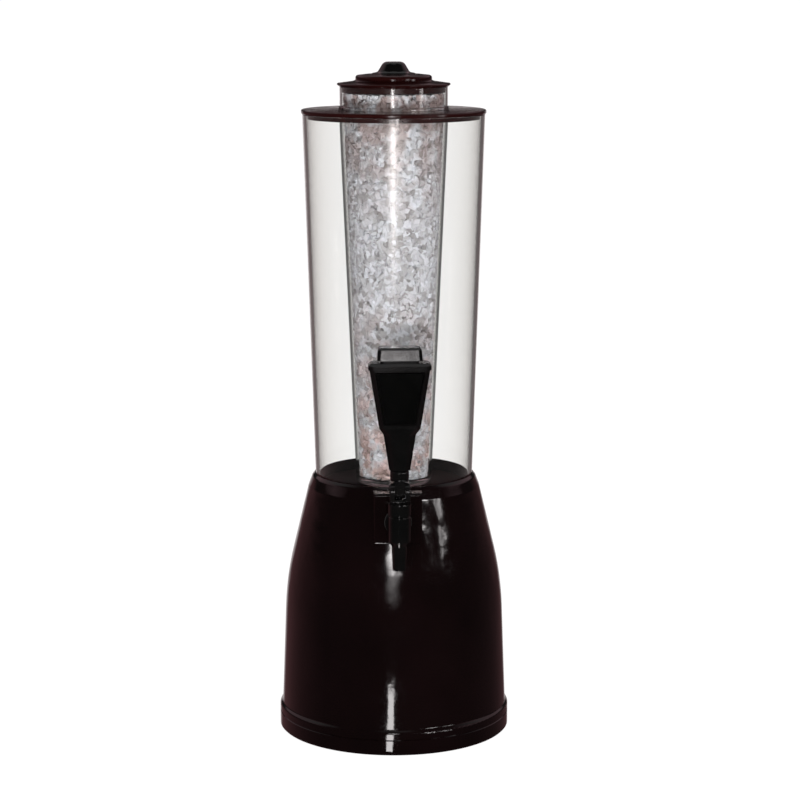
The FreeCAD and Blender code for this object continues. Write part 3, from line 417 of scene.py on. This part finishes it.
def make_ice_tree():
    """Crushed ice inside a tapered tube: chips laid over a cone and pressed flat at the wall."""
    tree = bpy.data.node_groups.new("crushed_ice_fill", "GeometryNodeTree")
    for name in ("Low", "High", "Foot Radius", "Top Radius", "Depth", "Spacing", "Chip Size", "Seed"):
        tree.interface.new_socket(name, in_out="INPUT", socket_type="NodeSocketFloat")
    tree.interface.new_socket("Geometry", in_out="OUTPUT", socket_type="NodeSocketGeometry")
    given = add_node(tree, "NodeGroupInput").outputs
    tall = calc(tree, "SUBTRACT", given["High"], given["Low"])

    def chance(kind, low, high, shift):
        """A random value for each chip."""
        node = add_node(tree, "FunctionNodeRandomValue", data_type=kind)
        lowest, highest = [socket for socket in node.inputs if socket.enabled][:2]
        lowest.default_value = low
        highest.default_value = high
        tree.links.new(calc(tree, "ADD", given["Seed"], shift), node.inputs["Seed"])
        return next(socket for socket in node.outputs if socket.enabled)

    # A cone inside the wall carries the chips
    cone = add_node(tree, "GeometryNodeMeshCone", {
        "Vertices": chip_cone_sides,
        "Side Segments": chip_cone_rings,
        "Radius Top": calc(tree, "SUBTRACT", given["Top Radius"], given["Depth"]),
        "Radius Bottom": calc(tree, "SUBTRACT", given["Foot Radius"], given["Depth"]),
        "Depth": calc(tree, "SUBTRACT", tall, calc(tree, "MULTIPLY", given["Depth"], 2.0)),
    })
    lift = add_node(tree, "ShaderNodeCombineXYZ", {"Z": calc(tree, "ADD", given["Low"], given["Depth"])})
    stood = add_node(tree, "GeometryNodeSetPosition", {
        "Geometry": cone.outputs["Mesh"], "Offset": lift.outputs["Vector"],
    })
    spread = add_node(tree, "GeometryNodeDistributePointsOnFaces", {
        "Mesh": stood.outputs["Geometry"], "Distance Min": given["Spacing"],
        "Density Max": most_chips_per_area, "Seed": given["Seed"],
    }, distribute_method="POISSON")
    chip = add_node(tree, "GeometryNodeMeshCube", {
        "Size": (chip_cube, chip_cube, chip_cube), "Vertices X": 2, "Vertices Y": 2, "Vertices Z": 2,
    })
    shape = chance("FLOAT_VECTOR", chip_smallest, chip_largest, chip_shape_seed)
    laid = add_node(tree, "GeometryNodeInstanceOnPoints", {
        "Points": spread.outputs["Points"], "Instance": chip.outputs["Mesh"],
        "Rotation": chance("FLOAT_VECTOR", (0.0, 0.0, 0.0), (math.tau, math.tau, math.tau), chip_turn_seed),
        "Scale": scaled(tree, shape, given["Chip Size"]),
    })
    toned = add_node(tree, "GeometryNodeStoreNamedAttribute", {
        "Geometry": laid.outputs["Instances"], "Name": "chip_tone",
        "Value": chance("FLOAT", 0.0, 1.0, chip_tone_seed),
    }, data_type="FLOAT", domain="INSTANCE")
    real = add_node(tree, "GeometryNodeRealizeInstances", {"Geometry": toned.outputs["Geometry"]})

    # Each chip is broken differently, by a wobble that depends on its place
    where = add_node(tree, "GeometryNodeInputPosition").outputs["Position"]
    wobble = add_node(tree, "ShaderNodeTexNoise", {"Vector": where, "Scale": break_turns, "Detail": 1.0})
    centred = vector_calc(tree, "SUBTRACT", wobble.outputs["Color"], (0.5, 0.5, 0.5))
    broken = add_node(tree, "GeometryNodeSetPosition", {
        "Geometry": real.outputs["Geometry"],
        "Offset": scaled(tree, centred, calc(tree, "MULTIPLY", given["Chip Size"], break_share)),
    })

    # Nothing leaves the tube: a point past the wall is pressed back to it
    place = split_axes(tree, where)
    along_y = calc(tree, "MULTIPLY", place["Y"], place["Y"])
    out = calc(tree, "SQRT", calc(tree, "MULTIPLY_ADD", place["X"], place["X"], along_y))
    height = calc(tree, "MINIMUM", calc(tree, "MAXIMUM", place["Z"], given["Low"]), given["High"])
    up = calc(tree, "DIVIDE", calc(tree, "SUBTRACT", height, given["Low"]), tall)
    widening = calc(tree, "SUBTRACT", given["Top Radius"], given["Foot Radius"])
    wall = calc(tree, "MULTIPLY_ADD", up, widening, given["Foot Radius"])
    share = calc(tree, "DIVIDE", wall, calc(tree, "MAXIMUM", out, thinnest_radius))
    press = calc(tree, "MINIMUM", share, 1.0)
    inside = add_node(tree, "ShaderNodeCombineXYZ", {
        "X": calc(tree, "MULTIPLY", place["X"], press), "Y": calc(tree, "MULTIPLY", place["Y"], press),
        "Z": height,
    })
    pressed = add_node(tree, "GeometryNodeSetPosition", {
        "Geometry": broken.outputs["Geometry"], "Position": inside.outputs["Vector"],
    })
    flat = add_node(tree, "GeometryNodeSetShadeSmooth", {
        "Geometry": pressed.outputs["Geometry"], "Shade Smooth": False,
    })
    last = add_node(tree, "GeometryNodeRealizeInstances", {"Geometry": flat.outputs["Geometry"]})
    coated = add_node(tree, "GeometryNodeSetMaterial", {
        "Geometry": last.outputs["Geometry"], "Material": wet_ice,
    })
    add_node(tree, "NodeGroupOutput", {"Geometry": coated.outputs["Geometry"]})
    return tree


ice_tree = make_ice_tree()


def lay_ice(name, depth, spacing, chip_size, seed):
    """One layer of chips."""
    piece = link_piece(name, bpy.data.meshes.new(name))
    modifier = piece.modifiers.new("fill", "NODES")
    modifier.node_group = ice_tree
    sizes = {
        "Low": ice_low, "High": ice_high, "Foot Radius": ice_foot_radius, "Top Radius": ice_top_radius,
        "Depth": depth, "Spacing": spacing, "Chip Size": chip_size, "Seed": seed,
    }
    for item in ice_tree.interface.items_tree:
        if item.name in sizes:
            modifier[item.identifier] = sizes[item.name]
    keep_result(piece)
    stand_for_ice(piece)


for layer in ice_layers:
    lay_ice(*layer)


def make_core():
    """Lumpy body of ice inside the chips."""
    shape = bmesh.new()
    rows = []
    for ring in range(core_rings + 1):
        z = ice_low + core_inset + ring / core_rings * (ice_high - ice_low - 2 * core_inset)
        radius = ice_foot_radius + ice_taper * (z - ice_low) - core_inset
        row = []
        for side in range(core_sides):
            turn = math.tau * side / core_sides
            point = Vector((radius * math.cos(turn), radius * math.sin(turn), z))
            lump = sum(noise.noise(point * turns) * height for turns, height in core_lumps)
            row.append(shape.verts.new(point + Vector((point.x, point.y, 0.0)) / radius * lump))
        rows.append(row)
    for lower, upper in zip(rows, rows[1:]):
        for side in range(core_sides):
            after = (side + 1) % core_sides
            shape.faces.new((lower[side], lower[after], upper[after], upper[side]))
    shape.faces.new(list(reversed(rows[0])))
    shape.faces.new(rows[-1])
    bmesh.ops.recalc_face_normals(shape, faces=shape.faces)
    stand_for_ice(link_piece("ice_core", keep_mesh("ice_core", shape, packed_ice)))


make_core()


def make_spring():
    """Return spring of the tap, which rides whole with the valve stem."""
    coil = bmesh.new()
    coil.from_mesh(nodes["return_spring"].data)
    bmesh.ops.remove_doubles(coil, verts=coil.verts, dist=0.000001)
    bmesh.ops.recalc_face_normals(coil, faces=coil.faces)
    piece = link_piece("spring_coil", keep_mesh("spring_coil", coil, turned_steel))
    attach(piece, "valve_stem")
    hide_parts("return_spring")
    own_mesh(piece)


make_spring()

# Studio floor: its glow seen directly, in a reflection, and as a share of either after a matte surface
floor_radius = 120.0
floor_sides = 64
floor_tone = grey(0.14)
floor_glow, floor_glow_reflected = 0.96, 0.08
floor_glow_matte_share = 0.4

# Room that only reflections see. Each part has a glow and the directions it fills: along is away from the
# tap's side, across is to its right and up is to the ceiling.
room_glow = 0.024
ambient_glow = 0.42
wall_glow, wall_along, wall_top = 0.9, (0.90, 0.99), (0.030, 0.045)
side_glow, side_along, side_top = 0.12, (-0.2, 0.75), (0.0, 0.1)
side_across, side_left_to_right, side_tint = (-1.0, 1.0), (1.4, 0.5), (1.0, 0.36, 0.40)
back_glow, back_along, back_foot, back_top = 0.42, (-0.3, 0.1), (0.22, 0.32), (0.5, 0.7)
back_tint = (1.0, 0.66, 0.72)
high_glow, high_along, high_up = 0.5, (0.0, 0.3), (0.5, 0.85)
ceiling_glow, ceiling_up = 0.55, (0.955, 0.985)
plain_tint = (1.0, 1.0, 1.0)

# Cards that only reflections see
card_tint = (1.0, 0.965, 0.965, 1.0)
card_steps = 12
sharpest_edge = 0.001
mottle_turns = 9.0
mottle_band = (0.42, 0.56)


def make_floor():
    """Plain white floor out to the horizon, lit so that only a faint shadow shows at the foot."""
    finish, tree, shader = new_finish(
        "studio_floor", Base_Color=floor_tone, Roughness=1.0, Specular_IOR_Level=0.0,
        Emission_Color=grey(1.0),
    )
    path = add_node(tree, "ShaderNodeLightPath").outputs
    seen = span(tree, path["Glossy Depth"], (0.0, 1.0), (floor_glow, floor_glow_reflected))
    kept = span(tree, path["Diffuse Depth"], (0.0, 1.0), (1.0, floor_glow_matte_share))
    drive(tree, shader, Emission_Strength=product(tree, seen, kept))
    shape = bmesh.new()
    bmesh.ops.create_circle(shape, cap_ends=True, segments=floor_sides, radius=floor_radius)
    floor = link_piece("floor", keep_mesh("floor", shape, finish))
    floor.visible_glossy = False
    floor.visible_diffuse = False


def make_world():
    """White to the camera. Reflections see a dim room with a low white wall, warm sides and a high glow."""
    world = bpy.data.worlds.new("studio")
    bpy.context.scene.world = world
    world.use_nodes = True
    tree = world.node_tree
    tree.nodes.clear()
    look = split_axes(tree, add_node(tree, "ShaderNodeTexCoord").outputs["Generated"])
    across, along, up = look["X"], look["Y"], look["Z"]
    rising, falling = (0.0, 1.0), (1.0, 0.0)
    wall = product(tree, span(tree, along, wall_along, (0.0, wall_glow)), span(tree, up, wall_top, falling))
    side = product(
        tree, span(tree, along, side_along, (0.0, side_glow)),
        span(tree, across, side_across, side_left_to_right), span(tree, up, side_top, falling),
    )
    back = product(
        tree, span(tree, up, back_foot, (0.0, back_glow)), span(tree, up, back_top, falling),
        span(tree, along, back_along, rising),
    )
    high = product(tree, span(tree, up, high_up, (0.0, high_glow)), span(tree, along, high_along, rising))
    ceiling = span(tree, up, ceiling_up, (0.0, ceiling_glow))
    above = calc(tree, "MAXIMUM", high, ceiling)
    reflected = calc(tree, "ADD", calc(tree, "ADD", wall, above), room_glow)
    path = add_node(tree, "ShaderNodeLightPath").outputs
    ambient = span(tree, path["Diffuse Depth"], (0.0, 1.0), (0.0, ambient_glow))
    plain = calc(tree, "MAXIMUM", calc(tree, "MAXIMUM", path["Is Camera Ray"], ambient), reflected)
    room = scaled(tree, plain_tint, plain)
    for strength, tint in ((side, side_tint), (back, back_tint)):
        room = vector_calc(tree, "ADD", room, scaled(tree, tint, strength))
    light = add_node(tree, "ShaderNodeBackground", {"Color": room, "Strength": 1.0})
    add_node(tree, "ShaderNodeOutputWorld", {"Surface": light.outputs["Background"]})


def softbox(name, place, target, size, power):
    """Rectangular lamp that neither the camera nor a reflection sees."""
    lamp = bpy.data.lights.new(name, "AREA")
    lamp.shape = "RECTANGLE"
    lamp.size, lamp.size_y = size
    lamp.energy = power
    light = bpy.data.objects.new(name, lamp)
    bpy.context.scene.collection.objects.link(light)
    light.location = place
    light.rotation_euler = (Vector(target) - Vector(place)).to_track_quat("-Z", "Y").to_euler()
    light.visible_camera = False
    light.visible_glossy = False
    light.visible_transmission = False


def toward(azimuth, distance, z):
    """Point at this azimuth from the object's axis, 0 at the tap and positive to the right of it."""
    turn = math.radians(azimuth)
    return Vector((distance * math.sin(turn), -distance * math.cos(turn), z))


def make_glow(name, glow, soft_side, soft_foot, soft_top, mottle):
    """Glow that fades towards a card's edges and lets what is behind it through."""
    finish = bpy.data.materials.new(name)
    finish.use_nodes = True
    tree = finish.node_tree
    tree.nodes.clear()
    place = split_axes(tree, add_node(tree, "ShaderNodeUVMap", uv_map="card").outputs["UV"])
    off_centre = calc(tree, "ABSOLUTE", calc(tree, "SUBTRACT", place["X"], 0.5))
    from_side = calc(tree, "SUBTRACT", 0.5, off_centre)
    parts = [
        span(tree, from_side, (0.0, max(soft_side, sharpest_edge)), (0.0, glow)),
        span(tree, place["Y"], (0.0, max(soft_foot, sharpest_edge)), (0.0, 1.0)),
        span(tree, place["Y"], (1.0 - max(soft_top, sharpest_edge), 1.0), (1.0, 0.0)),
    ]
    if mottle:
        patches = grain(tree, place_on(tree), mottle_turns, 2.0)
        parts.append(span(tree, patches, mottle_band, (1.0 - mottle, 1.0)))
    light = add_node(tree, "ShaderNodeEmission", {"Color": card_tint, "Strength": product(tree, *parts)})
    behind = add_node(tree, "ShaderNodeBsdfTransparent")
    both = add_node(tree, "ShaderNodeAddShader", {0: light.outputs["Emission"], 1: behind.outputs["BSDF"]})
    add_node(tree, "ShaderNodeOutputMaterial", {"Surface": both.outputs["Shader"]})
    return finish


def glow_card(name, corners, glow, soft_side=0.0, soft_foot=0.0, soft_top=0.0, mottle=0.0, on_skin=True,
              through_clear=False):
    """Glowing card that only reflections see. Its corners are foot left, foot right, top right and top left.
    Each softness is a share of the width or height, and mottle is how much of the glow comes and goes.
    on_skin shows it in plain reflections, and through_clear in those that pass through clear plastic."""
    shape = bmesh.new()
    place = shape.loops.layers.uv.new("card")
    foot_left, foot_right, top_right, top_left = corners
    rows = []
    for row in range(card_steps + 1):
        up = row / card_steps
        left = foot_left.lerp(top_left, up)
        right = foot_right.lerp(top_right, up)
        shares = [column / card_steps for column in range(card_steps + 1)]
        rows.append([(shape.verts.new(left.lerp(right, share)), (share, up)) for share in shares])
    for lower, upper in zip(rows, rows[1:]):
        for column in range(card_steps):
            ring = (lower[column], lower[column + 1], upper[column + 1], upper[column])
            face = shape.faces.new([corner[0] for corner in ring])
            for loop, corner in zip(face.loops, ring):
                loop[place].uv = corner[1]
    finish = make_glow(name, glow, soft_side, soft_foot, soft_top, mottle)
    card = link_piece(name, keep_mesh(name, shape, finish))
    card.visible_camera = False
    card.visible_diffuse = False
    card.visible_shadow = False
    card.visible_transmission = through_clear
    card.visible_glossy = on_skin


def standing_card(name, azimuth, distance, foot, top, half_foot, half_top, glow, **softness):
    """Upright card facing the axis, with its half widths at the foot and the top in degrees."""
    corners = [
        toward(azimuth - half_foot, distance, foot), toward(azimuth + half_foot, distance, foot),
        toward(azimuth + half_top, distance, top), toward(azimuth - half_top, distance, top),
    ]
    glow_card(name, corners, glow, **softness)


make_floor()
make_world()

softbox("front_softbox", toward(22.0, 1.6, 0.80), target=(0.0, 0.0, 0.33), size=(0.6, 0.6), power=8.8)
softbox("low_softbox", toward(-8.0, 1.2, 0.24), target=(0.0, 0.0, 0.22), size=(0.5, 0.12), power=8.4)
softbox("back_softbox", (0.4, 1.3, 1.3), target=(0.0, 0.0, 0.35), size=(1.4, 0.9), power=5.0)

# Long streak down the front of the tank and the bell
standing_card(
    "front_strip", azimuth=-3.4, distance=1.2, foot=0.09, top=0.375, half_foot=8.5, half_top=7.0, glow=5.0,
    soft_side=0.5, soft_foot=1.0, through_clear=True,
)
standing_card(
    "front_core", azimuth=-4.6, distance=1.19, foot=0.372, top=0.48, half_foot=4.8, half_top=4.0, glow=20.0,
    soft_side=0.5, soft_foot=0.12, soft_top=0.2,
)
# Broad sheen on the tube inside the tank
standing_card(
    "tank_card", azimuth=-0.5, distance=1.22, foot=0.10, top=0.37, half_foot=24.0, half_top=22.0, glow=3.0,
    soft_side=0.5, soft_foot=0.6, soft_top=0.1, on_skin=False, through_clear=True,
)
# Glints on the neck of the tube and on top of the paddle
standing_card(
    "neck_card", azimuth=-3.4, distance=1.21, foot=0.408, top=0.445, half_foot=8.0, half_top=8.0, glow=4.0,
    soft_side=0.4, soft_foot=0.2, soft_top=0.2,
)
standing_card(
    "crown_card", azimuth=2.3, distance=1.18, foot=0.33, top=0.41, half_foot=2.2, half_top=2.2, glow=11.0,
    soft_side=0.2, soft_foot=0.2, soft_top=0.2,
)
# Streak on the foot, from a strip on the floor. Its corners are azimuths and distances.
low_strip_height = 0.0008
low_strip_corners = ((-7.8, 0.33), (-2.2, 0.33), (-3.0, 0.10), (-6.6, 0.10))
glow_card(
    "low_strip", [toward(azimuth, distance, low_strip_height) for azimuth, distance in low_strip_corners],
    glow=14.0, soft_side=0.1, soft_foot=0.05,
)
# Window with a broken reflection on the right of the bell
standing_card(
    "window_right", azimuth=57.0, distance=1.3, foot=0.37, top=0.65, half_foot=4.5, half_top=7.5, glow=9.5,
    soft_side=0.2, soft_foot=0.1, mottle=0.75,
)
standing_card(
    "window_left", azimuth=39.5, distance=1.3, foot=0.47, top=0.67, half_foot=4.5, half_top=9.0, glow=21.0,
    soft_side=0.25, soft_foot=0.3, mottle=0.4,
)


def make_camera():
    """Camera a little above the object, looking slightly down at it."""
    data = bpy.data.cameras.new("camera")
    data.sensor_width = sensor_width
    data.lens = camera_lens
    camera = bpy.data.objects.new("camera", data)
    bpy.context.scene.collection.objects.link(camera)
    right = Vector((math.cos(camera_azimuth), -math.sin(camera_azimuth), 0.0))
    back = Vector((-math.sin(camera_azimuth), -math.cos(camera_azimuth), 0.0))
    up = Vector((0.0, 0.0, 1.0))
    camera.location = back * camera_distance + right * camera_side_step + up * camera_height
    camera.rotation_euler = (math.radians(90.0) - camera_pitch, 0.0, -camera_azimuth)
    bpy.context.scene.camera = camera


make_camera()
bpy.context.scene.view_settings.view_transform = "Standard"
